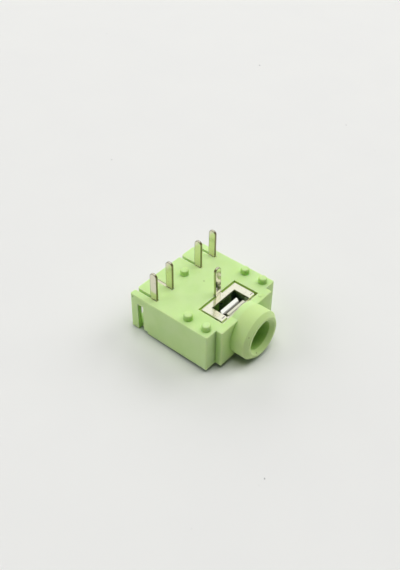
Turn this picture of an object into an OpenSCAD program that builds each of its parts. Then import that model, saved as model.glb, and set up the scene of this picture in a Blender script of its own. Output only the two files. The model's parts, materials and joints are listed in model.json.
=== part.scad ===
// Stereo jack socket for a circuit board, lying on its back with the terminals up.
// Millimetres. The nozzle points to -Y, and the plug comes in through it along +Y.
// The origin is level with the nozzle's lowest line, under the middle of the part.

/* [Body] */
// Width of the body, side to side
body_w = 12; // [11.6:0.1:14]
// Length of the body, from its front face to its rear edge
body_l = 11; // [10.8:0.1:13]
// Height of the body, from its back to the board face
body_h = 4.9; // [4.8:0.1:6]
// Thickness of the walls round the contact chamber
wall = 0.6; // [0.4:0.05:0.6]
// Rounding of the body's upright edges
corner_r = 0.2; // [0.1:0.05:0.4]
// Rounding of the edges round the flat faces
rim_r = 0.1; // [0.05:0.05:0.2]

/* [Nozzle] */
// Width of the shoulder that carries the nozzle
shoulder_w = 8.9; // [7:0.1:10]
// How far the shoulder stands out of the front face
shoulder_l = 0.8; // [0.4:0.1:1.5]
// Diameter of the nozzle
nozzle_d = 5.95; // [5.4:0.05:7]
// Length of the nozzle in front of the shoulder
nozzle_l = 2.2; // [1.5:0.1:5]
// How far the nozzle's round back reaches behind the body's front face
nozzle_back = 0.06; // [0.02:0.02:0.08]
// Width of the flat ring round the bore's mouth, inside the nozzle's chamfered front edge
front_ring_w = 0.28; // [0.1:0.02:0.4]
// Diameter of the bore that takes the plug
bore_d = 3.6; // [3.55:0.05:3.65]
// Width and height of the square passage from the bore to the contact chamber
passage_w = 3.8; // [3.7:0.05:4]
// How far the countersunk mouth widens the bore all round
mouth_flare = 0.4; // [0.1:0.05:0.5]
// Depth of the countersink
mouth_depth = 0.45; // [0.2:0.05:0.8]

/* [Board side] */
// Diameter of a locating peg
peg_d = 1; // [0.7:0.05:1.2]
// Height of a locating peg above the board face
peg_h = 0.7; // [0.4:0.05:1]
// Rounding of a peg's top
peg_top_r = 0.2; // [0.05:0.05:0.3]
// Distance from the body's side to the front pegs
peg_inset = 1.03; // [0.8:0.01:1.3]
// Distance from the front face to the first pair of pegs
peg_y = 0.92; // [0.8:0.01:1.2]
// Distance from the first pair of pegs to the second
peg_step = 2.5; // [2:0.1:4]
// Distance from the front face to the single rear peg
rear_peg_y = 8.5; // [6:0.1:10]
// Distance from the middle of the part to the rear peg
rear_peg_x = 0.3; // [0:0.05:0.5]

/* [Side slots] */
// Distance from the rear edge to the slot in each side wall
side_slot_back = 1.05; // [0.6:0.05:1.2]
// Width of the side slot
side_slot_w = 0.85; // [0.5:0.05:1.2]
// Height of the side slot above the body's back
side_slot_h = 3.8; // [2.5:0.05:3.9]
// Length of the step in front of the slot's foot
side_step_l = 0.5; // [0.2:0.05:0.8]
// Height of that step
side_step_h = 0.35; // [0.1:0.05:0.5]

/* [Terminals] */
// Thickness of the terminal sheet
contact_t = 0.26; // [0.2:0.02:0.3]
// Width of a terminal blade
blade_w = 0.9; // [0.8:0.05:1.2]
// Height of the blades above the board face
blade_h = 3.6; // [2.5:0.05:4.5]
// Rounding of a blade's tip
blade_tip_r = 0.4; // [0.1:0.05:0.4]
// Distance from the front face to the rear blades
blade_y = 7.8; // [7.6:0.05:8.2]
// Distance from the body's side to an outer blade
outer_inset = 1; // [0.9:0.05:1.1]
// Distance from an outer blade to the inner one beside it
blade_step = 2.55; // [2.3:0.05:2.7]
// Play on each side of a blade in its slot
slot_play = 0.05; // [0.03:0.01:0.12]
// Rounding of the slots' rear ends, where the contacts slide in
slot_lead_r = 0.3; // [0.1:0.05:0.4]
// How far a contact's plate runs on behind its blade
plate_tail = 0.6; // [0.2:0.05:0.8]
// Distance from the body's rear edge to the end of the ring switch contact in its slot
slot_edge_back = 0.45; // [0.2:0.05:1]
// How far the ring switch contact lies below the board face in its slot
slot_edge_sink = 0.05; // [0.02:0.01:0.2]
// Width of the guide ribs beside the plates
rib_w = 0.35; // [0.2:0.05:0.45]
// Gap between the guide ribs and the spring arms above them
rib_gap = 0.15; // [0.05:0.05:0.5]

/* [Springs] */
// Diameter of the plug that the springs are set for
plug_d = 3.5; // [3.4:0.05:3.5]
// How far a spring at rest reaches inside the plug's surface
spring_bite = 0.3; // [0.1:0.05:0.5]
// Distance from the front face to the ring spring's touching point
ring_y = 5.8; // [5.7:0.05:6.2]
// Distance from the front face to the tip spring's touching point
tip_y = 8.3; // [7.9:0.05:8.5]
// Height of a spring's arm
arm_h = 1.6; // [1:0.05:1.7]
// Angle of a spring's arm across the socket
arm_angle = 20; // [10:1:25]
// Angle at which a spring's tail turns back
tail_angle = 140; // [130:1:150]
// Length of the tail's end that lies on the switch contact
tail_l = 0.7; // [0.4:0.05:0.8]
// Radius of the bend at a spring's root
root_bend_r = 0.5; // [0.3:0.05:0.6]
// Radius of the bend at a spring's touching point
touch_bend_r = 0.45; // [0.3:0.05:0.5]
// Gap between the ring spring's root bend and the chamber's front wall
chamber_gap = 0.22; // [0.05:0.01:0.3]
// Gap in front of a switch contact where the tail passes
tail_gap = 0.2; // [0.1:0.05:0.3]

/* [Sleeve contact] */
// Thickness of the sleeve contact's sheet
sleeve_t = 0.25; // [0.15:0.01:0.3]
// Width of its frame
frame_w = 5.84; // [5.4:0.02:6.4]
// Length of its frame
frame_l = 2.84; // [2.7:0.02:3]
// Distance from the front face to the frame
frame_y = 0.43; // [0.35:0.01:0.5]
// Width of the window in the frame
window_w = 3.95; // [3.8:0.05:4.2]
// Width of the frame's rear bar
bar_w = 0.68; // [0.5:0.01:0.9]
// How far the frame lies below the board face
frame_sink = 0.05; // [0.02:0.01:0.15]
// Gap between the frame and its recess
recess_gap = 0.26; // [0.1:0.01:0.3]
// Width of the ledge in the recess that carries the frame
ledge_w = 0.35; // [0.2:0.05:0.5]
// Radius of the folds, at the middle of the sheet
fold_r = 0.16; // [0.16:0.01:0.2]
// Depth of the two front legs below the board face
leg_depth = 1.5; // [0.9:0.05:2]
// Play round a leg or the front blade in its slot
leg_play = 0.08; // [0.02:0.01:0.1]
// Depth of the bridge between the legs, below the board face
bridge_depth = 0.62; // [0.55:0.01:0.64]
// Depth of the gaps beside the tongue
notch_depth = 0.4; // [0.35:0.01:0.45]
// Width of the tongue that touches the plug's sleeve
tongue_w = 2.9; // [2.4:0.05:3.2]
// Distance from the frame's front edge to where the tongue starts to dip
tongue_flat_l = 0.49; // [0.45:0.01:0.55]
// Distance from the frame's front edge to the tongue's touching line
tongue_touch_l = 1.16; // [1:0.02:1.3]
// Distance from the frame's front edge to the tongue's free end
tongue_l = 1.48; // [1.4:0.02:1.7]
// How far the tongue at rest reaches inside the plug's surface
tongue_bite = 0.3; // [0.1:0.02:0.4]
// How far the tongue's free end rises from its touching line
tongue_rise = 0.35; // [0.2:0.01:0.4]
// Rounding of the corners at the tongue's free end
tongue_tip_r = 0.2; // [0.05:0.05:0.4]
// Depth of the opening under the tongue, below the board face
opening_depth = 1.8; // [1.5:0.05:2]
// Distance from the middle of the part to the middle of the front blade
front_blade_x = 0.2; // [0:0.05:0.4]
// Width of the front blade
front_blade_w = 0.9; // [0.7:0.05:1.2]
// Distance from the frame's rear edge to the front blade
front_blade_back = 0.3; // [0.2:0.01:0.35]
// Lean of the front blade towards the rear, in degrees
front_blade_lean = 2; // [0:1:6]

/* [Hidden] */
$fn = 64;

// How far a cut runs past the face that it opens
over = 1;
// How deep a piece of the moulding runs into its neighbour
merge = 1;
// How far one stretch of bent sheet laps into the next
lap = 0.03;

// Places along the plug's axis
overall_l = body_l + shoulder_l + nozzle_l;
rear_y = overall_l / 2;
front_y = -overall_l / 2;
face_y = rear_y - body_l;
shoulder_y = face_y - shoulder_l;
axis_z = body_h / 2;

// Height of the body's back above the nozzle's lowest line. Heights below are above the body's back
back_z = max(nozzle_d - body_h, 0) / 2;

// Mouth of the bore, and the chamfer that the nozzle's wall leaves room for
mouth_d = bore_d + 2 * mouth_flare;
nozzle_chamfer = (nozzle_d - mouth_d) / 2 - front_ring_w;

// Walls of the chamber that holds the contacts, and the ribs on its floor
chamber_w = body_w - 2 * wall;
floor_z = wall;
roof_z = body_h - wall;
rib_h = axis_z - arm_h / 2 - rib_gap - floor_z;

// Terminal slots and plates
slot_w = contact_t + 2 * slot_play;
outer_x = body_w / 2 - outer_inset;
inner_x = outer_x - blade_step;
blade_rear = blade_y + blade_w;
plate_rear = blade_rear + plate_tail;

// A spring in its own plan: u runs from the plate's middle to the plug's axis, v along +Y
touch_u = outer_x - plug_d / 2 + spring_bite - touch_bend_r - contact_t / 2;
arm_l = (touch_u - root_bend_r - (root_bend_r - touch_bend_r) * sin(arm_angle)) / cos(arm_angle);
root_back = arm_l * sin(arm_angle) - (root_bend_r - touch_bend_r) * cos(arm_angle);
tail_u = touch_u + touch_bend_r * sin(tail_angle);
tail_back = -touch_bend_r * cos(tail_angle);
rest_u = blade_step - contact_t;
slope_l = (tail_u - rest_u) / -cos(tail_angle);
rest_back = tail_back + slope_l * sin(tail_angle);

// Lower edge of a switch contact's top bar, above the spring's tail
bar_z = axis_z + arm_h / 2 + tail_gap;

// Front wall of the chamber, ahead of the ring spring's root bend
chamber_y = ring_y - root_back - root_bend_r - contact_t / 2 - chamber_gap;

// Sleeve contact's frame, recess and blade
frame_rear = frame_y + frame_l;
recess_depth = frame_sink + sleeve_t;
sheet_z = body_h - frame_sink - sleeve_t / 2;
fold_y = frame_y + sleeve_t / 2 + fold_r;
front_blade_y = frame_rear + front_blade_back;
tongue_top_z = body_h - recess_depth - sleeve_t / 2;
touch_z = axis_z + plug_d / 2 - tongue_bite + sleeve_t / 2;

function from_face(distance) = face_y + distance;

// Raises a finished piece, so that the nozzle's lowest line is level with the origin
module raised() {
  translate([0, 0, back_z]) children();
}

// A flat outline pushed along X: its first coordinate becomes Y and its second Z
module along_x(length) {
  rotate([90, 0, 90]) linear_extrude(length, center = true) children();
}

// A flat outline pushed along Y: its first coordinate becomes X and its second Z
module along_y(length) {
  rotate([90, 0, 0]) linear_extrude(length, center = true) children();
}

module rounded_rectangle(x, y, r) {
  square([x - 2 * r, y], center = true);
  square([x, y - 2 * r], center = true);
  for (sx = [-1, 1], sy = [-1, 1]) translate([sx * (x / 2 - r), sy * (y / 2 - r)]) circle(r);
}

// A moulded block from y0 to y1, as high as the body, with all its edges rounded
module moulded_block(x, y0, y1) {
  translate([0, (y0 + y1) / 2, body_h / 2]) intersection() {
    linear_extrude(body_h, center = true) rounded_rectangle(x, y1 - y0, corner_r);
    along_x(x) rounded_rectangle(y1 - y0, body_h, rim_r);
    along_y(y1 - y0) rounded_rectangle(x, body_h, rim_r);
  }
}

// Round nozzle with a chamfered front edge. It runs back over the shoulder, proud of both broad faces
module nozzle() {
  length = from_face(nozzle_back) - front_y;
  radius = nozzle_d / 2;
  translate([0, front_y + length, axis_z]) rotate([90, 0, 0]) rotate_extrude()
    polygon([
      [0, 0],
      [radius, 0],
      [radius, length - nozzle_chamfer],
      [radius - nozzle_chamfer, length],
      [0, length],
    ]);
}

module peg(x, distance) {
  translate([x, from_face(distance), body_h - merge]) rotate_extrude() {
    square([peg_d / 2, merge + peg_h - peg_top_r]);
    square([peg_d / 2 - peg_top_r, merge + peg_h]);
    intersection() {
      translate([peg_d / 2 - peg_top_r, merge + peg_h - peg_top_r]) circle(peg_top_r);
      square([peg_d / 2, merge + peg_h]);
    }
  }
}

module pegs() {
  for (side = [-1, 1], distance = [peg_y, peg_y + peg_step])
    peg(side * (body_w / 2 - peg_inset), distance);
  peg(rear_peg_x, rear_peg_y);
}

module moulded_body() {
  moulded_block(body_w, face_y, rear_y);
  moulded_block(shoulder_w, shoulder_y, face_y + merge);
  nozzle();
  pegs();
}

// Space for the contacts, open to the rear
module chamber() {
  translate([-chamber_w / 2, from_face(chamber_y), floor_z])
    cube([chamber_w, body_l - chamber_y + over, roof_z - floor_z]);
}

// Low ribs along the chamber's floor that keep the contact plates upright, up to the plates' rear ends
module guide_ribs() {
  for (side = [-1, 1], x = [inner_x, outer_x], rib = [-1, 1])
    translate([side * x + rib * (slot_w + rib_w) / 2 - rib_w / 2, from_face(chamber_y), floor_z])
      cube([rib_w, plate_rear - chamber_y, rib_h]);
}

// Countersunk bore through the nozzle, and the square passage from there to the chamber
module plug_bore() {
  bore_end = from_face(frame_y - recess_gap);
  bore_l = bore_end - front_y;
  translate([0, front_y, axis_z]) rotate([-90, 0, 0]) {
    translate([0, 0, -over]) cylinder(d = bore_d, h = bore_l + 2 * over);
    cylinder(d1 = mouth_d, d2 = bore_d, h = mouth_depth);
  }
  translate([-passage_w / 2, bore_end, axis_z - passage_w / 2])
    cube([passage_w, from_face(chamber_y) + over - bore_end, passage_w]);
}

// Widened rear end of a terminal slot, between two rounded corners
module slot_lead() {
  translate([0, rear_y - slot_lead_r]) difference() {
    translate([-slot_w / 2 - slot_lead_r, 0]) square([slot_w + 2 * slot_lead_r, slot_lead_r + over]);
    for (side = [-1, 1]) translate([side * (slot_w / 2 + slot_lead_r), 0]) circle(slot_lead_r);
  }
}

// Slots in the board face through which the rear contacts slide in from behind
module terminal_slots() {
  for (side = [-1, 1], x = [inner_x, outer_x]) translate([side * x, 0, 0]) {
    translate([-slot_w / 2, from_face(blade_y - slot_play), roof_z - over])
      cube([slot_w, body_l - blade_y + slot_play + over, wall + 2 * over]);
    translate([0, 0, roof_z]) linear_extrude(wall + over) slot_lead();
  }
}

// Slot and stepped foot in each side wall, ahead of the rear corner post
module side_slots() {
  slot_end = rear_y - side_slot_back;
  slot_start = slot_end - side_slot_w;
  for (side = [-1, 1]) translate([side * (body_w - wall) / 2, 0, 0]) {
    translate([-wall / 2 - (1 - side) / 2 * over, slot_start, -over])
      cube([wall + over, side_slot_w, side_slot_h + over]);
    translate([-wall / 2 - (1 - side) / 2 * over, slot_start - side_step_l, -over])
      cube([wall + over, side_step_l + side_slot_w / 2, side_step_h + over]);
  }
}

// Seat of the sleeve contact in the board face, with the opening down to the plug
module sleeve_seat() {
  seat_w = frame_w + 2 * recess_gap;
  translate([-seat_w / 2, from_face(frame_y - recess_gap), body_h - recess_depth])
    cube([seat_w, frame_l + 2 * recess_gap, recess_depth + over]);
  pocket_w = frame_w - 2 * ledge_w;
  pocket_start = frame_y + sleeve_t + leg_play + ledge_w;
  translate([-pocket_w / 2, from_face(pocket_start), body_h - opening_depth])
    cube([pocket_w, frame_rear - ledge_w - pocket_start, opening_depth + over]);
  translate([-window_w / 2, from_face(frame_y - recess_gap), body_h - opening_depth])
    cube([window_w, pocket_start + ledge_w - frame_y + recess_gap, opening_depth + over]);
  leg_slot_w = (seat_w - window_w) / 2 + leg_play;
  for (side = [-1, 1])
    translate([side * (seat_w - leg_slot_w) / 2, from_face(frame_y + sleeve_t / 2), body_h])
      cube([leg_slot_w, sleeve_t + 2 * leg_play, 2 * (leg_depth + leg_play)], center = true);
  blade_gap_w = front_blade_w + 2 * leg_play;
  translate([front_blade_x - blade_gap_w / 2, from_face(frame_rear), body_h - recess_depth])
    cube([blade_gap_w, front_blade_back + sleeve_t / 2 + leg_play, recess_depth + over]);
}

module housing() {
  color([0.79, 0.91, 0.62]) raised() difference() {
    union() {
      difference() {
        moulded_body();
        chamber();
      }
      guide_ribs();
    }
    plug_bore();
    terminal_slots();
    side_slots();
    sleeve_seat();
  }
}

// Upright blade outline with a rounded tip, from z0 up to the blades' common height
module blade_outline(width, z0) {
  top = body_h + blade_h;
  translate([-width / 2, z0]) square([width, top - blade_tip_r - z0]);
  translate([-width / 2 + blade_tip_r, z0]) square([width - 2 * blade_tip_r, top - z0]);
  for (side = [-1, 1])
    translate([side * (width / 2 - blade_tip_r), top - blade_tip_r]) circle(blade_tip_r);
}

// Plate in the YZ plane that fills the chamber's height between two distances from the front face
module plate_outline(start, end) {
  translate([from_face(start), floor_z]) square([end - start, roof_z - floor_z]);
}

module rear_blade_outline() {
  translate([from_face(blade_y + blade_w / 2), 0]) blade_outline(blade_w, roof_z - merge / 2);
}

// Curved stretch of sheet between two directions from its bend's centre, less than half a turn apart
module sheet_bend(r, t, from, to) {
  reach = 2 * (r + t);
  middle = (from + to) / 2;
  intersection() {
    difference() {
      circle(r + t / 2);
      circle(r - t / 2);
    }
    polygon([[0, 0], [cos(from), sin(from)] * reach, [cos(middle), sin(middle)] * reach * 2,
      [cos(to), sin(to)] * reach]);
  }
}

// Straight stretch of sheet that runs from a point in a direction, and laps its neighbours at both ends
module sheet_run(start, direction, length, t) {
  translate(start) rotate(direction) translate([-lap, -t / 2]) square([length + 2 * lap, t]);
}

// A spring's arm in plan, from the bend at its root over the touching point to its resting tail
module spring_plan() {
  root = [root_bend_r, -root_back];
  arm_start = root + root_bend_r * [sin(arm_angle), -cos(arm_angle)];
  tail_start = [tail_u, tail_back];
  translate(root) sheet_bend(root_bend_r, contact_t, 180, 270 + arm_angle);
  sheet_run(arm_start, arm_angle, arm_l, contact_t);
  translate([touch_u, 0]) sheet_bend(touch_bend_r, contact_t, arm_angle - 90, tail_angle - 90);
  sheet_run(tail_start, tail_angle, slope_l, contact_t);
  translate([rest_u, rest_back]) circle(d = contact_t);
  sheet_run([rest_u, rest_back], 90, tail_l, contact_t);
}

// Spring on the left side: an upright plate with its blade, and the arm bent from the plate's front
module spring(touch_y) {
  translate([-outer_x, 0, 0]) {
    along_x(contact_t) {
      plate_outline(touch_y - root_back - lap, plate_rear);
      rear_blade_outline();
    }
    translate([0, from_face(touch_y), axis_z]) linear_extrude(arm_h, center = true) spring_plan();
  }
}

// Switch contact on the left side: a flat plate that the spring's tail rests on, with its blade
module switch_contact(touch_y) {
  start = touch_y + rest_back + tail_gap;
  end = max(blade_rear, start + tail_l);
  translate([-inner_x, 0, 0]) along_x(contact_t) {
    plate_outline(start, end);
    translate([from_face(min(start, blade_y)), bar_z])
      square([end - min(start, blade_y), roof_z - bar_z]);
    rear_blade_outline();
  }
}

// Edge of the ring switch contact that lies in its slot behind the blade, just below the board face
module slot_edge() {
  end = body_l - slot_edge_back;
  translate([-inner_x, 0, 0]) along_x(contact_t)
    translate([from_face(blade_y), bar_z]) square([end - blade_y, body_h - slot_edge_sink - bar_z]);
}

module ring_spring() {
  color([0.80, 0.78, 0.72]) raised() spring(ring_y);
}

module ring_switch_contact() {
  color([0.74, 0.73, 0.68]) raised() {
    switch_contact(ring_y);
    slot_edge();
  }
}

module tip_spring() {
  color([0.80, 0.78, 0.72]) raised() mirror([1, 0, 0]) spring(tip_y);
}

module tip_switch_contact() {
  color([0.74, 0.73, 0.68]) raised() mirror([1, 0, 0]) switch_contact(tip_y);
}

// Flat frame round the window, open to the front
module sleeve_frame() {
  arm_w = (frame_w - window_w) / 2;
  translate([0, 0, sheet_z]) linear_extrude(sleeve_t, center = true) {
    translate([-frame_w / 2, from_face(frame_rear - bar_w)]) square([frame_w, bar_w]);
    for (side = [-1, 1]) translate([side * (window_w + arm_w) / 2 - arm_w / 2, from_face(fold_y)])
      square([arm_w, frame_rear - fold_y]);
  }
}

// Folds at the arms' front ends, and the legs below them
module sleeve_legs() {
  arm_w = (frame_w - window_w) / 2;
  leg_top = sheet_z - fold_r;
  for (side = [-1, 1]) translate([side * (window_w + arm_w) / 2, 0, 0]) along_x(arm_w) {
    translate([from_face(fold_y), leg_top]) sheet_bend(fold_r, sleeve_t, 90, 180);
    translate([from_face(frame_y), body_h - leg_depth]) square([sleeve_t, leg_top - body_h + leg_depth]);
  }
}

// Bridge between the legs, and the tongue that is folded back from it over the plug
module sleeve_tongue() {
  notch_z = body_h - notch_depth;
  bridge_z = body_h - bridge_depth;
  dip = [from_face(frame_y + tongue_touch_l), touch_z];
  flat_end = [from_face(frame_y + tongue_flat_l), tongue_top_z];
  tongue_end = [from_face(frame_y + tongue_l), touch_z + tongue_rise];
  down = dip - flat_end;
  rise = tongue_end - dip;
  along_x(window_w + 2 * lap)
    translate([from_face(frame_y), bridge_z]) square([sleeve_t, notch_z - bridge_z]);
  intersection() {
    along_x(tongue_w + 2 * over) {
      translate([from_face(frame_y), bridge_z]) square([sleeve_t, tongue_top_z - fold_r - bridge_z]);
      translate([from_face(fold_y), tongue_top_z - fold_r]) sheet_bend(fold_r, sleeve_t, 90, 180);
      sheet_run([from_face(fold_y), tongue_top_z], 0, frame_y + tongue_flat_l - fold_y, sleeve_t);
      translate(flat_end) circle(d = sleeve_t);
      sheet_run(flat_end, atan2(down.y, down.x), norm(down), sleeve_t);
      translate(dip) circle(d = sleeve_t);
      sheet_run(dip, atan2(rise.y, rise.x), norm(rise), sleeve_t);
    }
    translate([0, from_face(frame_y) - over, 0])
      linear_extrude(body_h) rounded_rectangle(tongue_w, 2 * (tongue_l + over), tongue_tip_r);
  }
}

// Front blade, folded up from the frame's rear bar
module front_blade() {
  fold_end = sheet_z + fold_r;
  foot_l = front_blade_back + bar_w / 2;
  translate([front_blade_x, from_face(front_blade_y), 0]) {
    along_x(front_blade_w) {
      sheet_run([-foot_l, sheet_z], 0, foot_l - fold_r, sleeve_t);
      translate([-fold_r, fold_end]) sheet_bend(fold_r, sleeve_t, 270, 360);
    }
    translate([0, 0, fold_end]) rotate([-front_blade_lean, 0, 0]) translate([0, 0, -fold_end])
      along_y(sleeve_t) blade_outline(front_blade_w, fold_end - lap);
  }
}

module sleeve_contact() {
  color([0.86, 0.84, 0.78]) raised() {
    sleeve_frame();
    sleeve_legs();
    sleeve_tongue();
    front_blade();
  }
}

housing();
sleeve_contact();
ring_spring();
ring_switch_contact();
tip_spring();
tip_switch_contact();
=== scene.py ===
# %% [markdown]
# # Stereo jack socket
# A small board-mount socket for a 3.5 mm plug, lying on its back with the solder blades up. The solids
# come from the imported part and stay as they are: the shape is all there. This lesson gives them two
# finishes, a satin moulded plastic and a bright plated sheet with dull cut edges, and sets up the
# camera, the table, the light and the surroundings around them.

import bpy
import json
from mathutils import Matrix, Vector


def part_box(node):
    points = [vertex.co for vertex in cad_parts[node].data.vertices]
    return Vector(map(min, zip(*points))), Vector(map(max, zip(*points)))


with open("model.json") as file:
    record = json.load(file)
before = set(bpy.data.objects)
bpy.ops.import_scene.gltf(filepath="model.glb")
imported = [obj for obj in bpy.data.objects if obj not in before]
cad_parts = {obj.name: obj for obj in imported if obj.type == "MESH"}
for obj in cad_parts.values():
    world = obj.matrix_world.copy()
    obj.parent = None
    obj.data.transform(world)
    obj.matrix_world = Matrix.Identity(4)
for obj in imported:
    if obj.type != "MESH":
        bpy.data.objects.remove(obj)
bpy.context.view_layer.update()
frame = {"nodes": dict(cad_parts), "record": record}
print("pieces:", ", ".join(sorted(frame["nodes"])))

# %% [markdown]
# ## Modules and unit
# Blender measures in metres, and objects stand in metres in the part's own frame. The part is only
# 14 mm long, so its marks are written in millimetres, and one constant turns one unit into the other.

# %% Other modules, and the unit
import json
import math

import bpy
from mathutils import Matrix, Vector

MM = 0.001
scene = bpy.context.scene

# %% [markdown]
# ## Camera
# The camera stands where it stood for the photograph: above the front left corner, looking down at the
# board side. A camera could be aimed with a constraint. Here its place comes from two angles, a
# distance and a point to look at, and a third angle rolls it a little, because those are easy to read
# and to change. The eye is close, so the near clip is short.

# %% Camera at the photograph's angle
VIEW_AZIMUTH = math.radians(-50.505)
VIEW_ELEVATION = math.radians(41.554)
VIEW_ROLL = math.radians(0.705)
VIEW_DISTANCE = 86.791 * MM
VIEW_AIM = Vector((0.252, 2.139, 5.149)) * MM
LENS = 48.707
SENSOR = 36.0
NEAR_CLIP = 5 * MM

towards_eye = Vector((
    math.sin(VIEW_AZIMUTH) * math.cos(VIEW_ELEVATION),
    -math.cos(VIEW_AZIMUTH) * math.cos(VIEW_ELEVATION),
    math.sin(VIEW_ELEVATION),
))
level_right = Vector((math.cos(VIEW_AZIMUTH), math.sin(VIEW_AZIMUTH), 0))
level_up = towards_eye.cross(level_right)
view_right = math.cos(VIEW_ROLL) * level_right + math.sin(VIEW_ROLL) * level_up
view_up = math.cos(VIEW_ROLL) * level_up - math.sin(VIEW_ROLL) * level_right

camera = bpy.data.objects.new("camera", bpy.data.cameras.new("camera"))
camera.data.lens = LENS
camera.data.sensor_width = SENSOR
camera.data.clip_start = NEAR_CLIP
turned = Matrix((view_right, view_up, towards_eye)).transposed().to_4x4()
camera.matrix_world = Matrix.Translation(VIEW_AIM + VIEW_DISTANCE * towards_eye) @ turned
scene.collection.objects.link(camera)
scene.camera = camera
print("camera at, mm:", [round(value / MM, 1) for value in camera.matrix_world.translation])

# %% [markdown]
# ## Writing a finish as arithmetic
# A finish is a tree of nodes. Wiring them one by one is long to read, so a small class holds one output
# socket and lets Python's own signs stand for Math nodes: 1 - mask or 2 * noise adds the node that
# works it out. Every other node comes from one method, which takes the kind of node, its settings and
# what goes into its sockets.

# %% A wire in a node tree
class Wire:
    """One output socket in a node tree. Arithmetic on wires adds Math nodes to that tree."""

    def __init__(self, tree, socket=None):
        self.tree = tree
        self.socket = socket

    def node(self, kind, settings=None, sockets=None, output=0):
        """Adds a node of any kind: its settings first, then the value or the wire of each socket."""
        node = self.tree.nodes.new(kind)
        for name, value in (settings or {}).items():
            setattr(node, name, value)
        for key, value in (sockets or {}).items():
            self.plug(value, self.pick(node.inputs, key))
        return Wire(self.tree, self.pick(node.outputs, output) if node.outputs else None)

    def plug(self, value, socket):
        """Leads a wire to a socket, or sets the socket to a plain value."""
        if isinstance(value, Wire):
            self.tree.links.new(value.socket, socket)
        else:
            socket.default_value = value

    @staticmethod
    def pick(sockets, key):
        """Finds a socket by its number, its name or its identifier."""
        if isinstance(key, int):
            return sockets[key]
        return next(socket for socket in sockets if key in (socket.identifier, socket.name))

    def beside(self, output):
        """Another output of the node that this wire comes from."""
        return Wire(self.tree, self.pick(self.socket.node.outputs, output))

    def math(self, operation, *values):
        """Adds a Math node with these values or wires."""
        return self.node("ShaderNodeMath", {"operation": operation}, dict(enumerate(values)))

    def __add__(self, other):
        return self.math("ADD", self, other)

    def __sub__(self, other):
        return self.math("SUBTRACT", self, other)

    def __rsub__(self, other):
        return self.math("SUBTRACT", other, self)

    def __mul__(self, other):
        return self.math("MULTIPLY", self, other)

    def __abs__(self):
        return self.math("ABSOLUTE", self)

    __radd__ = __add__
    __rmul__ = __mul__


print("signs that add Math nodes: + - * abs")

# %% [markdown]
# ## Places and masks
# Both finishes are worked out from the place on the part, in millimetres, so that a mark of 0.1 mm is
# written as that. A picture wrapped round the part would need a map of every face. The part's own
# coordinates need none, and a grain made from them runs through the edges as it does in a real
# moulding.

# %% A new finish, and the place on the part
def new_finish(name):
    """A material with an empty tree, and a bare wire to build it with."""
    material = bpy.data.materials.new(name)
    material.use_nodes = True
    material.node_tree.nodes.clear()
    return material, Wire(material.node_tree)


def place_mm(tree):
    """The place on the part, in millimetres."""
    place = tree.node("ShaderNodeTexCoord", output="Object")
    return tree.node("ShaderNodeVectorMath", {"operation": "SCALE"}, {0: place, "Scale": 1 / MM})


def axes(vector):
    """The x, y and z of a place or a direction, as three wires."""
    x = vector.node("ShaderNodeSeparateXYZ", {}, {0: vector})
    return x, x.beside("Y"), x.beside("Z")


print("places are in mm:", 1 / MM, "to the metre")

# %% [markdown]
# ## Soft boxes
# Most marks belong to one region of the part, such as a peg or a bend in a sheet. Such a region could
# be a group of vertices, but a flat face of the solids has vertices only at its corners. A box in
# millimetres with soft sides needs none: it gives, for each axis that matters, a low end, a high end
# and how soft they are.

# %% Soft steps and soft boxes
FAR = 100.0


def soft_step(value, low, high):
    """0 below low, 1 above high and a smooth rise between."""
    settings = {"interpolation_type": "SMOOTHSTEP"}
    return value.node("ShaderNodeMapRange", settings, {"Value": value, "From Min": low, "From Max": high})


def between(value, low, high, soft):
    """1 from low to high and 0 outside, with soft ends."""
    return soft_step(value, low - soft, low) * (1 - soft_step(value, high, high + soft))


def within(place, box):
    """1 inside a soft box and 0 outside. An end at FAR is open."""
    inside = 1
    for axis, value in zip("xyz", axes(place)):
        if axis in box:
            inside = inside * between(value, *box[axis])
    return inside


print("an open end of a box lies", FAR, "mm away")

# %% [markdown]
# ## Noise and spots
# No real surface is even. Clouds, grain, specks and waves all start as noise, which could be a picture,
# but made by a node it has no seams and no limit of size. Single marks are round spots, each with a
# centre and a radius.

# %% Noise, spots and the largest of several
SPOT_CORE = 0.3


def noise(place, per_mm, detail=3.0):
    """Cloudy noise from 0 to 1, with so many swells to the millimetre."""
    sockets = {"Vector": place, "Scale": per_mm, "Detail": detail}
    return place.node("ShaderNodeTexNoise", {}, sockets, "Fac")


def spot(place, centre, radius):
    """1 in the core of a round mark, 0 outside its radius."""
    away = place.node("ShaderNodeVectorMath", {"operation": "DISTANCE"}, {0: place, 1: centre}, "Value")
    return 1 - soft_step(away, SPOT_CORE * radius, radius)


def largest(wire, *others):
    """The largest of several values."""
    for other in others:
        wire = wire.math("MAXIMUM", wire, other)
    return wire


print("a spot is full over", SPOT_CORE, "of its radius")

# %% [markdown]
# ## Colours
# A colour that is picked from a screen has been bent to suit the eye. Blender works with the light
# itself, so each colour is unbent once, as it is written down. Colours are blended by Mix nodes,
# because a Math node would turn them grey.

# %% Colours
def linear(red, green, blue):
    """A colour as it is read off a screen, from 0 to 255, as the light it stands for."""
    shares = [value / 255 for value in (red, green, blue)]
    light = [share / 12.92 if share <= 0.04045 else ((share + 0.055) / 1.055) ** 2.4 for share in shares]
    return (*light, 1.0)


def blend_colour(mask, plain, other):
    """Goes from one colour to the other as the mask goes from 0 to 1."""
    sockets = {"Factor_Float": mask, "A_Color": plain, "B_Color": other}
    return mask.node("ShaderNodeMix", {"data_type": "RGBA"}, sockets, "Result_Color")


print("a mid grey of 128 is", round(linear(128, 128, 128)[0], 3), "of white light")

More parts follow.
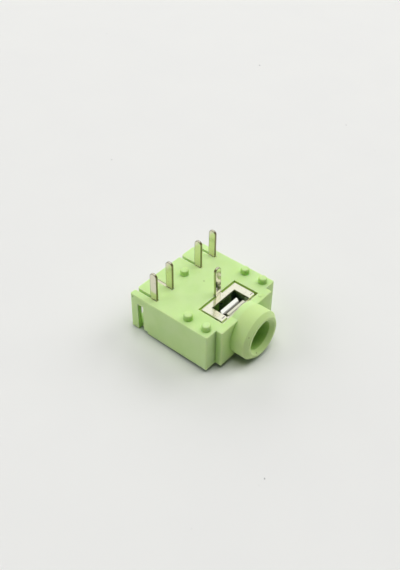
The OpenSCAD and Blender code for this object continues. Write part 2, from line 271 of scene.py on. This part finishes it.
# %% [markdown]
# ## Hollows, edges and the way a face looks
# Corners and openings are given painted shade, a deeper green, and the outer edges of the plastic a
# painted highlight, a paler green. Both could be painted by hand. Here rays find them: a point from
# which many short rays outwards hit the part lies in a hollow, and one from which short rays inwards
# leave the part again lies on an edge. The way a face looks tells the rest, such as which side of a
# sheet was cut.

# %% Masks for hollows, edges and directions
RAYS = 6


def blocked(tree, reach, **settings):
    """The share of rays, as long as the reach in mm, that something blocks."""
    settings = {"samples": RAYS, **settings}
    return 1 - tree.node("ShaderNodeAmbientOcclusion", settings, {"Distance": reach * MM}, "AO")


def hollow(tree, reach):
    """0 on an open face, towards 1 deep inside an opening."""
    return blocked(tree, reach, only_local=True)


def edge(tree, reach):
    """0 on a flat face, towards 0.5 on an outer edge."""
    return blocked(tree, reach, only_local=True, inside=True)


def facing(tree, axis):
    """How squarely a face looks along an axis, either way, from 0 to 1."""
    normal = tree.node("ShaderNodeNewGeometry", output="True Normal")
    return abs(axes(normal)["xyz".index(axis)])


print("each mask sends out", RAYS, "rays")

# %% [markdown]
# ## Fine relief
# Grain, rolled lines and the slight bends of a sheet are far finer than the mesh, which stays as it is.
# A bump bends the light as the real relief would, and a bevel node does the same for an edge's small
# radius. The surface shader then takes the colour, the roughness and the bent normal.

# %% Bumps, small radii and the surface
def rounded(tree, radius):
    """The normal with every edge softened to this radius."""
    return tree.node("ShaderNodeBevel", {"samples": RAYS}, {"Radius": radius})


def bumped(normal, height, distance, strength=1.0):
    """The normal bent by a height, where a height of 1 stands for the distance."""
    sockets = {"Strength": strength, "Distance": distance, "Height": height, "Normal": normal}
    return normal.node("ShaderNodeBump", {}, sockets)


def surface(tree, sockets):
    """Leads a surface shader with these sockets to the material's output."""
    shader = tree.node("ShaderNodeBsdfPrincipled", {}, sockets)
    tree.node("ShaderNodeOutputMaterial", {}, {"Surface": shader})


print("bumps and radii are in metres, as the meshes are")

# %% [markdown]
# ## Regions of the moulding
# The housing isn't one even green. The contact chamber is painted dark as shade, and the walls of the
# recess round the sleeve contact are painted a deeper green as shade. The nozzle is a slightly darker,
# yellower green. The painted shade of the hollows is left off the slots' lips, so they stay pale. The
# pegs get no painted edge highlight, and their sides get painted shade. The board face and the sleeve
# contact's outline come from the imported part, so that the boxes stay with it.

# %% Boxes on the moulding, in mm
mounts = {mount["name"]: mount["pos_m"] for mount in frame["record"]["mounts"]}
sleeve_low, sleeve_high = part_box("sleeve_contact")
BOARD = mounts["board_face"][2] / MM
SLEEVE_FRONT = sleeve_low.y / MM
SLEEVE_SIDE = sleeve_high.x / MM
RECESS_ROOM = 0.38

CHAMBER = {"x": (-5.2, 5.2, 0.1), "y": (-3.9, 0.5, 0.2), "z": (1.0, BOARD - 0.125, 0.1)}
RECESS = {
    "x": (-SLEEVE_SIDE - RECESS_ROOM, SLEEVE_SIDE + RECESS_ROOM, 0.02),
    "y": (SLEEVE_FRONT - RECESS_ROOM, -0.35, 0.02),
    "z": (BOARD - 0.625, BOARD - 0.035, 0.02),
}
RECESS_MIDDLE = {"x": (-2.3, 2.3, 0.05), "y": (-3.7, -0.9, 0.05)}
NOZZLE = {"y": (-FAR, -4.9, 0.4)}
PEGS = {"y": (-4.2, FAR, 0.3), "z": (BOARD + 0.075, FAR, 0.06)}
SLOT_LIPS = {"y": (1.5, FAR, 0.5), "z": (BOARD - 0.325, FAR, 0.6)}
print("board face at", round(BOARD, 3), "mm, sleeve contact from y", round(SLEEVE_FRONT, 3), "mm")

# %% [markdown]
# ## Moulded plastic
# The housing is one moulding in pale green, and the green clouds a little where the melt flowed. A
# single colour would look like paint. So the colour is laid on in turns, each blended over the last by
# its own mask: clouds, a darker nozzle, a painted highlight on the edges, and painted shade on the
# pegs' sides, in the hollows, in the chamber and on the recess walls.

# %% The greens of the moulding
PLASTIC_GREEN = linear(208, 236, 167)
PLASTIC_CLOUD = linear(202, 233, 157)
PLASTIC_NOZZLE_TONE = linear(203, 229, 155)
PLASTIC_EDGE_HIGHLIGHT = linear(234, 247, 204)
PLASTIC_SHADE_GREEN = linear(144, 196, 80)
PLASTIC_CHAMBER_SHADE = linear(62, 84, 66)
PLASTIC_RECESS_SHADE = linear(186, 216, 116)
CLOUDS_PER_MM = 0.45
CLOUD_STEP = (0.35, 0.65)
EDGE_HIGHLIGHT_REACH = 0.14
EDGE_HIGHLIGHT_STEP = (0.1, 0.45)
EDGE_HIGHLIGHT_SHARE = 0.8
PEG_TOP_STEP = (0.5, 0.9)
PEG_SIDE_SHADE_SHARE = 0.45
HOLLOW_REACH = 4.0
HOLLOW_SHADE_STEP = (0.12, 0.85)
CHAMBER_SHADE_STEP = (0.15, 0.5)


def plastic_colour(tree, place):
    """The green of the moulding, with its clouds and a darker nozzle, and the painted highlight and shade
    that change it from place to place.
    """
    clouds = soft_step(noise(place, CLOUDS_PER_MM, detail=4.0), *CLOUD_STEP)
    colour = blend_colour(clouds, PLASTIC_GREEN, PLASTIC_CLOUD)
    # the nozzle is a slightly darker, yellower green
    colour = blend_colour(within(place, NOZZLE), colour, PLASTIC_NOZZLE_TONE)
    pegs = within(place, PEGS)
    # painted highlight: the outer edges, but not the pegs' edges, are a paler green
    highlit = soft_step(edge(tree, EDGE_HIGHLIGHT_REACH), *EDGE_HIGHLIGHT_STEP) * (1 - pegs)
    colour = blend_colour(EDGE_HIGHLIGHT_SHARE * highlit, colour, PLASTIC_EDGE_HIGHLIGHT)
    # painted shade: the pegs' sides are a deeper green than their tops
    peg_side_shade = pegs * (1 - soft_step(facing(tree, "z"), *PEG_TOP_STEP))
    colour = blend_colour(PEG_SIDE_SHADE_SHARE * peg_side_shade, colour, PLASTIC_SHADE_GREEN)
    depth = hollow(tree, HOLLOW_REACH)
    # painted shade: the more the rays are blocked in a hollow, the deeper the green, except on the slots'
    # lips
    deep = soft_step(depth, *HOLLOW_SHADE_STEP) * (1 - within(place, SLOT_LIPS))
    colour = blend_colour(deep, colour, PLASTIC_SHADE_GREEN)
    # painted shade: the contact chamber is dark inside, where little light gets in
    dark = soft_step(depth, *CHAMBER_SHADE_STEP) * within(place, CHAMBER)
    colour = blend_colour(dark, colour, PLASTIC_CHAMBER_SHADE)
    # painted shade: the walls of the recess round the sleeve contact are a deeper green
    recess_wall_shade = within(place, RECESS) * (1 - within(place, RECESS_MIDDLE))
    return blend_colour(recess_wall_shade, colour, PLASTIC_RECESS_SHADE)


# the edge reach printed here is that of the painted edge highlight
print("hollows are felt over", HOLLOW_REACH, "mm, worn edges over", EDGE_HIGHLIGHT_REACH, "mm")

# %% [markdown]
# ## Marks in the plastic
# A few tiny dark specks are burnt crumbs in the melt, and a small round scar on the shoulder is left by
# an ejector pin. The mould was spark-eroded, which leaves a fine even grain and a satin sheen. The
# grain could be sculpted, but at a sixteenth of a millimetre it is finer than any mesh here, so it is a
# bump.

# %% Crumbs, scar and grain
PLASTIC_CRUMB = linear(84, 92, 50)
CRUMB_SHARE = 0.85
CRUMBS = (
    ((0.826, 2.035, BOARD), 0.10),
    ((-2.28, -6.75, 4.49), 0.08),
    ((-0.779, -6.85, 1.052), 0.12),
    ((-6.0, 6.633, 5.083), 0.12),
)
SCAR = ((2.989, -4.251, BOARD), 0.32)
SCAR_HEIGHT = 0.10 * MM
EDGE_ROUNDING = 0.11 * MM
GRAIN_PER_MM = 16.0
GRAIN_HEIGHT = 0.004 * MM
GRAIN_STRENGTH = 0.35


def with_crumbs(place, colour):
    """The colour with the dark crumbs over it."""
    for centre, radius in CRUMBS:
        colour = blend_colour(CRUMB_SHARE * spot(place, centre, radius), colour, PLASTIC_CRUMB)
    return colour


def plastic_relief(tree, place):
    """Small radii on the edges, the ejector's scar and the mould's grain."""
    normal = rounded(tree, EDGE_ROUNDING)
    normal = bumped(normal, spot(place, *SCAR), SCAR_HEIGHT)
    return bumped(normal, noise(place, GRAIN_PER_MM), GRAIN_HEIGHT, GRAIN_STRENGTH)


print("crumbs:", len(CRUMBS), "and grain of", round(1 / GRAIN_PER_MM, 3), "mm")

# %% [markdown]
# ## The satin surface
# Light goes a little way into this plastic and comes out again, more green than it went in, which
# softens the shaded sides. A plain diffuse surface would look chalky. So a share of the light is
# scattered below the surface, over about half a millimetre.

# %% Satin green moulding
SATIN_ROUGHNESS = 0.44
SATIN_VARIATION = 0.10
SATIN_PER_MM = 1.3
PLASTIC_IOR = 1.5
PLASTIC_GLOSS = 0.32
GLOW_SHARE = 0.35
GLOW_REACH = (0.9, 1.0, 0.35)
GLOW_DEPTH = 0.5 * MM


def moulded_plastic():
    """The housing's finish."""
    material, tree = new_finish("green_plastic_satin")
    place = place_mm(tree)
    surface(tree, {
        "Base Color": with_crumbs(place, plastic_colour(tree, place)),
        "Roughness": SATIN_ROUGHNESS + SATIN_VARIATION * noise(place, SATIN_PER_MM),
        "Normal": plastic_relief(tree, place),
        "IOR": PLASTIC_IOR,
        "Specular IOR Level": PLASTIC_GLOSS,
        "Subsurface Weight": GLOW_SHARE,
        "Subsurface Radius": GLOW_REACH,
        "Subsurface Scale": GLOW_DEPTH,
    })
    return material


green_plastic = moulded_plastic()
print("made", green_plastic.name, "with", len(green_plastic.node_tree.nodes), "nodes")

# %% [markdown]
# ## Tin plating and bare cuts
# The contacts are stamped from thin plated strip. The tin is bright, with small dull specks from
# handling. The punch cuts through it, so every cut edge is bare metal, dull and brown on the sides.
# Round the tips a cut edge gets a painted dark reflection, and where it looks straight up a painted
# highlight. A dark line of painted shade runs round each blade. The faces could be painted one by one,
# but the way they look and the edge mask are enough to find them.

# %% Colours of the sheet
TIN_SPECK = linear(120, 112, 80)
CUT_TIP_DARK_REFLECTION = linear(104, 98, 68)
CUT_TOP_HIGHLIGHT = linear(226, 220, 198)
SHEET_SHADE = linear(46, 43, 30)
SPECKS_PER_MM = 6.0
SPECK_STEP = (0.69, 0.74)
SPECK_SHARE = 0.6
TIP_REFLECTION_STEP = (0.1, 0.4)
TOP_HIGHLIGHT_STEP = (0.8, 0.96)
EDGE_SHADE_REACH = 0.08
EDGE_SHADE_STEP = (0.10, 0.34)


def tin_and_cuts(tree, place, tin, bare, cut):
    """Specked tin, and bare metal where the cut mask is 1, with a painted dark reflection round the tips
    and a painted highlight on top.
    """
    specks = soft_step(noise(place, SPECKS_PER_MM, detail=1.0), *SPECK_STEP)
    plating = blend_colour(SPECK_SHARE * specks, tin, TIN_SPECK)
    upwards = facing(tree, "z")
    # painted dark reflection: cut edges that tilt a little upwards, round the tips, are darker
    metal = blend_colour(soft_step(upwards, *TIP_REFLECTION_STEP), bare, CUT_TIP_DARK_REFLECTION)
    # painted highlight: cut edges that look straight up are pale
    metal = blend_colour(soft_step(upwards, *TOP_HIGHLIGHT_STEP), metal, CUT_TOP_HIGHLIGHT)
    return blend_colour(cut, plating, metal)


def with_edge_shade(tree, colour, region):
    """The colour with a painted dark line of shade along the edges of a region."""
    # painted shade: a dark line runs along every edge of the sheet
    edge_shade = soft_step(edge(tree, EDGE_SHADE_REACH), *EDGE_SHADE_STEP)
    return blend_colour(region * edge_shade, colour, SHEET_SHADE)


# the reach printed here is that of the painted dark edge line
print("the burr is felt over", EDGE_SHADE_REACH, "mm")

# %% [markdown]
# ## Rolled lines and waves
# The rolls leave faint lines along the strip, and stamping leaves it a little wavy. Both are bumps,
# because on bright metal they only bend the mirror image. The lines are noise stretched along the
# strip: it changes fast across it and slowly along it. Cut edges are rougher than the tin.

# %% Relief and roughness of the sheet
SHEET_ROUNDING = 0.03 * MM
LINE_HEIGHT = 0.002 * MM
LINE_STRENGTH = 0.3
SWELLS_PER_MM = 0.8
WAVE_HEIGHT = 0.03 * MM
TIN_ROUGHNESS = 0.12
LINE_ROUGHNESS = 0.10
CUT_ROUGHNESS = 0.22


def roll_lines(place, per_mm):
    """Lines of the rolls, as noise with so many swells to the millimetre along each axis."""
    stretched = place.node("ShaderNodeVectorMath", {"operation": "MULTIPLY"}, {0: place, 1: per_mm})
    return noise(stretched, 1.0)


def swells(place):
    """The slow waves of a stamped sheet."""
    return noise(place, SWELLS_PER_MM, detail=1.0)


def tin_surface(tree, colour, lines, cut, normal, waves, wave_strength):
    """Bright metal with its lines and waves, led to the output."""
    normal = bumped(normal, lines, LINE_HEIGHT, LINE_STRENGTH)
    surface(tree, {
        "Base Color": colour,
        "Metallic": 1.0,
        "Roughness": TIN_ROUGHNESS + LINE_ROUGHNESS * lines + CUT_ROUGHNESS * cut,
        "Normal": bumped(normal, waves, WAVE_HEIGHT, wave_strength),
    })


print("waves of", 1 / SWELLS_PER_MM, "mm")

# %% [markdown]
# ## The four rear contacts
# Each rear contact stands upright, with its blade flat across X. So above the board, a face that
# doesn't look along X is a cut one. Below the board nothing is marked, because the housing hides most
# of it.

# %% Sheet of the rear contacts
BLADES = {"z": (BOARD + 0.1, FAR, 0.05)}
BLADE_TIN = linear(231, 227, 205)
CUT_BRASS = linear(146, 142, 102)
SQUARE_STEP = (0.6, 0.8)
UPRIGHT_LINES = (40, 40, 1.5)
UPRIGHT_WAVE = 0.5


def looks_along(tree, axis):
    """1 on faces that look squarely along an axis, 0 on the others."""
    return soft_step(facing(tree, axis), *SQUARE_STEP)


def finish_upright_sheet():
    """The finish of the springs and their switch contacts."""
    material, tree = new_finish("plated_sheet_upright")
    place = place_mm(tree)
    blades = within(place, BLADES)
    cut = blades * (1 - looks_along(tree, "x"))
    colour = tin_and_cuts(tree, place, BLADE_TIN, CUT_BRASS, cut)
    colour = with_edge_shade(tree, colour, blades)
    lines = roll_lines(place, UPRIGHT_LINES)
    tin_surface(tree, colour, lines, cut, rounded(tree, SHEET_ROUNDING), swells(place), UPRIGHT_WAVE)
    return material


upright_sheet = finish_upright_sheet()
print("made", upright_sheet.name, "with", len(upright_sheet.node_tree.nodes), "nodes")

# %% [markdown]
# ## Marks on the sleeve contact
# The sleeve contact is folded about X, so most of its cut edges look along X. Its bar is cut on the
# faces that look along Y as well, and its blade at the tip. Its tongue dips into the bore, where its
# dip and slope get painted shade, and rises to a free end with a painted white highlight. Short dark
# lines of painted reflection show where the arms and the bridge fold down, and the bridge has a little
# painted shade.

# %% Cuts and painted shade of the sleeve contact
BAR = {"y": (-1.5, -0.7, 0.05), "z": (0.0, BOARD - 0.035, 0.01)}
DIP = {"y": (-3.9, -2.6, 0.05), "z": (4.3, 4.73, 0.06)}
SLOPE = {"y": (-3.02, -2.6, 0.04), "z": (4.3, 5.25, 0.05)}
TONGUE_FREE_END = {"y": (-2.5, FAR, 0.12), "z": (-FAR, 5.0, 0.1)}
BRIDGE = {"x": (-1.6, 1.6, 0.1), "y": (-3.7, -3.06, 0.03)}
BRIDGE_FOLD = {"x": (-1.5, 1.4, 0.1), "y": (-3.38, -3.34, 0.02), "z": (5.1, FAR, 0.1)}
LEFT_FOLD = {"x": (-2.55, -2.1, 0.03), "y": (-3.31, -3.25, 0.02), "z": (5.3, FAR, 0.1)}
RIGHT_FOLD = {"x": (2.45, 2.85, 0.03), "y": (-3.31, -3.25, 0.02), "z": (5.3, FAR, 0.1)}
DIP_SHARE = 0.95
SLOPE_SHARE = 0.9
SHADE_MARKS = ((LEFT_FOLD, 0.8), (RIGHT_FOLD, 0.8), (BRIDGE_FOLD, 0.4), (BRIDGE, 0.14))


def folded_cuts(tree, place, blade):
    """1 on the cut edges of the sleeve contact."""
    across = looks_along(tree, "y")
    return largest(looks_along(tree, "x"), blade * (1 - across), within(place, BAR) * across)


def painted_dark_marks(place):
    """How much painted shade and dark reflection there is: the tongue's dip and slope, the folds and the
    bridge.
    """
    # painted shade on the tongue's dip and slope, painted dark reflections at the folds, a little shade
    # on the bridge
    darkened = largest(DIP_SHARE * within(place, DIP), SLOPE_SHARE * within(place, SLOPE))
    for box, share in SHADE_MARKS:
        darkened = darkened + share * within(place, box)
    return darkened


print("dull marks:", len(SHADE_MARKS), "beside the tongue's dip")

# %% [markdown]
# ## Slight bends of the sleeve contact
# Plugs have rubbed the tongue's free end round, and the front blade is a little twisted and leaves its
# bar in a soft curve. Its mirror image shows that: a dark S with white above it. The bends are too
# slight to change the outline, so they are heights for a bump.

# %% Heights of the bends
TONGUE_ROOT = {"y": (-FAR, -2.62, 0.57), "z": (-FAR, 5.05, 0.07)}
TWIST = {"x": (0.65, FAR, 0.9), "z": (5.5, 7.6, 0.9)}
TWIST_MIDDLE = 6.7
TWIST_SHARE = 0.35
FOOT = {"x": (0.05, FAR, 0.3), "z": (5.6, FAR, 0.18)}
FOOT_FADE = {"z": (-FAR, 5.4, 1.3)}
FOOT_SHARE = 0.55
BEND_HEIGHT = 0.2 * MM


def slight_bends(place, blade):
    """The height of the rubbed tongue, which falls towards its end, and of the blade's twist and foot."""
    z = axes(place)[2]
    twist = (TWIST_MIDDLE - z) * within(place, TWIST) * blade
    foot = within(place, FOOT) * within(place, FOOT_FADE)
    return within(place, TONGUE_ROOT) + TWIST_SHARE * twist + FOOT_SHARE * foot


print("bends of up to", round(BEND_HEIGHT / MM, 2), "mm")

# %% [markdown]
# ## The sleeve contact
# It is made like the rear contacts' sheet, from a paler strip with the rolled lines along X, and its cut
# edges are pale green as a painted reflection. Its frame lies flat in the recess and gets only a faint
# painted dark edge line, so only the blade has the full dark line. The blade is also wavier.

# %% Sheet of the sleeve contact
SLEEVE_FRAME = {"z": (BOARD - 0.3, FAR, 0.05)}
SLEEVE_TIN = linear(245, 243, 224)
CUT_GREEN_REFLECTION = linear(196, 204, 150)
TONGUE_HIGHLIGHT = linear(255, 255, 250)
FLAT_EDGE_SHADE = 0.25
FOLDED_LINES = (1.5, 40, 40)
FOLDED_WAVE = 0.7
BLADE_WAVE = 4.0


def finish_folded_sheet():
    """The finish of the sleeve contact."""
    material, tree = new_finish("plated_sheet_folded")
    place = place_mm(tree)
    blade = within(place, BLADES)
    cut = folded_cuts(tree, place, blade)
    # painted reflection: the sleeve contact's cut edges are pale green, as if mirroring the housing
    colour = tin_and_cuts(tree, place, SLEEVE_TIN, CUT_GREEN_REFLECTION, cut)
    # painted shade: a faint dark edge line round the frame and the full one round the blade
    colour = with_edge_shade(tree, colour, FLAT_EDGE_SHADE * within(place, SLEEVE_FRAME) + (1 - FLAT_EDGE_SHADE) * blade)
    # painted shade and painted dark reflections on the tongue, the folds and the bridge
    colour = blend_colour(painted_dark_marks(place), colour, SHEET_SHADE)
    # painted highlight: the tongue's free end is white
    colour = blend_colour(within(place, TONGUE_FREE_END) * (1 - cut), colour, TONGUE_HIGHLIGHT)
    lines = roll_lines(place, FOLDED_LINES)
    normal = bumped(rounded(tree, SHEET_ROUNDING), slight_bends(place, blade), BEND_HEIGHT)
    waves = swells(place) * (1 + BLADE_WAVE * blade)
    tin_surface(tree, colour, lines, cut, normal, waves, FOLDED_WAVE)
    return material


folded_sheet = finish_folded_sheet()
print("made", folded_sheet.name, "with", len(folded_sheet.node_tree.nodes), "nodes")

# %% [markdown]
# ## Dressing the pieces
# Each solid keeps its mesh and only gets its finish in its material slot. The four rear contacts share
# one sheet finish, and the sleeve contact has its own, because its cut edges and rolled lines run
# another way.

# %% Each piece gets its finish
finishes = {
    "housing": green_plastic,
    "sleeve_contact": folded_sheet,
    "ring_spring": upright_sheet,
    "ring_switch_contact": upright_sheet,
    "tip_spring": upright_sheet,
    "tip_switch_contact": upright_sheet,
}
for piece, finish in finishes.items():
    materials = frame["nodes"][piece].data.materials
    materials.clear()
    materials.append(finish)
    print(piece, "is in", finish.name)

# %% [markdown]
# ## Paper
# The socket lies on pale paper, faintly clouded, with a few grains of dust. Close to the part hardly
# any light gets down to it, and what does is tinted. Soft lamps alone leave that line too pale, so the
# same rays that find hollows darken the paper within a millimetre of the part.

# %% Pale paper
PAPER = linear(237, 237, 234)
PAPER_CLOUD = linear(234, 234, 232)
PAPER_DUST = linear(150, 150, 148)
PAPER_SHADE = linear(148, 157, 154)
PAPER_CLOUDS_PER_MM = 0.12
DUST_PER_MM = 1.1
DUST_STEP = (0.82, 0.86)
SHADE_REACH = 1.0
SHADE_STEP = (0.15, 0.7)
SHADE_SHARE = 0.8


def pale_paper():
    """The table's finish."""
    material, tree = new_finish("pale_paper")
    place = place_mm(tree)
    colour = blend_colour(noise(place, PAPER_CLOUDS_PER_MM, detail=5.0), PAPER, PAPER_CLOUD)
    dust = soft_step(noise(place, DUST_PER_MM, detail=1.0), *DUST_STEP)
    colour = blend_colour(dust, colour, PAPER_DUST)
    shade = soft_step(blocked(tree, SHADE_REACH), *SHADE_STEP)
    colour = blend_colour(SHADE_SHARE * shade, colour, PAPER_SHADE)
    surface(tree, {"Base Color": colour, "Roughness": 1.0, "Specular IOR Level": 0.0})
    return material


paper = pale_paper()
print("made", paper.name)

# %% [markdown]
# ## Table
# The nozzle is a little thicker than the body, so the socket rests on the nozzle, just behind its
# chamfer, and on the body's rear edge. The part could be tipped, but its frame stays as it is for the
# other tools, so the table slopes instead, by two degrees. The dark wedge under the left side comes
# from that.

# %% Table under the nozzle and the rear edge
TABLE_HALF = 2.0
NOZZLE_CHAMFER = 0.495 * MM

housing_low, housing_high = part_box("housing")
nozzle_rest_y = housing_low.y + NOZZLE_CHAMFER
slope = mounts["back_face"][2] / (housing_high.y - nozzle_rest_y)
signs = ((-1, -1), (1, -1), (1, 1), (-1, 1))
outline = [(x * TABLE_HALF, y * TABLE_HALF) for x, y in signs]
corners = [(x, y, (y - nozzle_rest_y) * slope) for x, y in outline]
table_mesh = bpy.data.meshes.new("table")
table_mesh.from_pydata(corners, [], [(0, 1, 2, 3)])
table_mesh.materials.append(paper)
table = bpy.data.objects.new("table", table_mesh)
scene.collection.objects.link(table)
print("table slopes by", round(math.degrees(math.atan(slope)), 2), "degrees")

# %% [markdown]
# ## Light
# The photograph has plain soft light: most comes from overhead, a good deal from behind and from the
# front right, and little from the left. One big sky would light all sides alike and leave the front as
# bright as the top. So a few round soft lamps stand on a dome, each with a compass angle, a height
# angle and a power. The camera doesn't see them, and neither does the metal: its mirror shows the pale
# room instead, so that no view of it burns out.

# %% Soft lamps on a dome
DOME = 1.2
LAMP_RADIUS = 0.40
LAMPS = {
    "overhead": (0, 90, 6.3),
    "high right": (320, 62, 1.4),
    "right": (0, 32, 1.5),
    "back right": (45, 28, 3.9),
    "back": (90, 18, 2.6),
    "back left": (135, 36, 3.5),
    "left": (180, 30, 0.6),
    "front right": (336, 34, 4.4),
}
for name, (compass, height, watts) in LAMPS.items():
    level = math.cos(math.radians(height))
    towards = Vector((
        level * math.cos(math.radians(compass)),
        level * math.sin(math.radians(compass)),
        math.sin(math.radians(height)),
    ))
    lamp = bpy.data.objects.new(name + " lamp", bpy.data.lights.new(name + " lamp", "AREA"))
    lamp.data.shape = "DISK"
    lamp.data.size = 2 * LAMP_RADIUS
    lamp.data.energy = watts
    lamp.location = DOME * towards
    lamp.rotation_euler = towards.to_track_quat("Z", "Y").to_euler()
    lamp.visible_camera = False
    lamp.visible_glossy = False
    scene.collection.objects.link(lamp)
print("lamps:", len(LAMPS), "with", round(sum(watts for _, _, watts in LAMPS.values()), 1), "W together")

# %% [markdown]
# ## Surroundings
# A bright sheet of tin shows the room. The room is pale, so rays from the camera and from mirrors see a
# pale background, while the lamps alone light the part. Colours are shown as they are written, with no
# film look.

# %% Pale surroundings, seen but giving no light
ROOM = linear(250, 251, 248)
ROOM_SEEN = 0.84

world = bpy.data.worlds.new("surroundings")
world.use_nodes = True
world.node_tree.nodes.clear()
room = Wire(world.node_tree)
seen = room.node("ShaderNodeLightPath", output="Is Camera Ray")
in_mirrors = seen.beside("Is Glossy Ray")
through_glass = seen.beside("Is Transmission Ray")
shown = largest(ROOM_SEEN * seen, in_mirrors, through_glass)
background = room.node("ShaderNodeBackground", {}, {"Color": ROOM, "Strength": shown})
room.node("ShaderNodeOutputWorld", {}, {"Surface": background})
scene.world = world
scene.view_settings.view_transform = "Standard"
print("surroundings made, with", len(world.node_tree.nodes), "nodes")

# %% [markdown]
# ## The end
# Paint adds no thickness, so the dressed part fills the same box as the solids.

# %% The end
print("scene dressed")
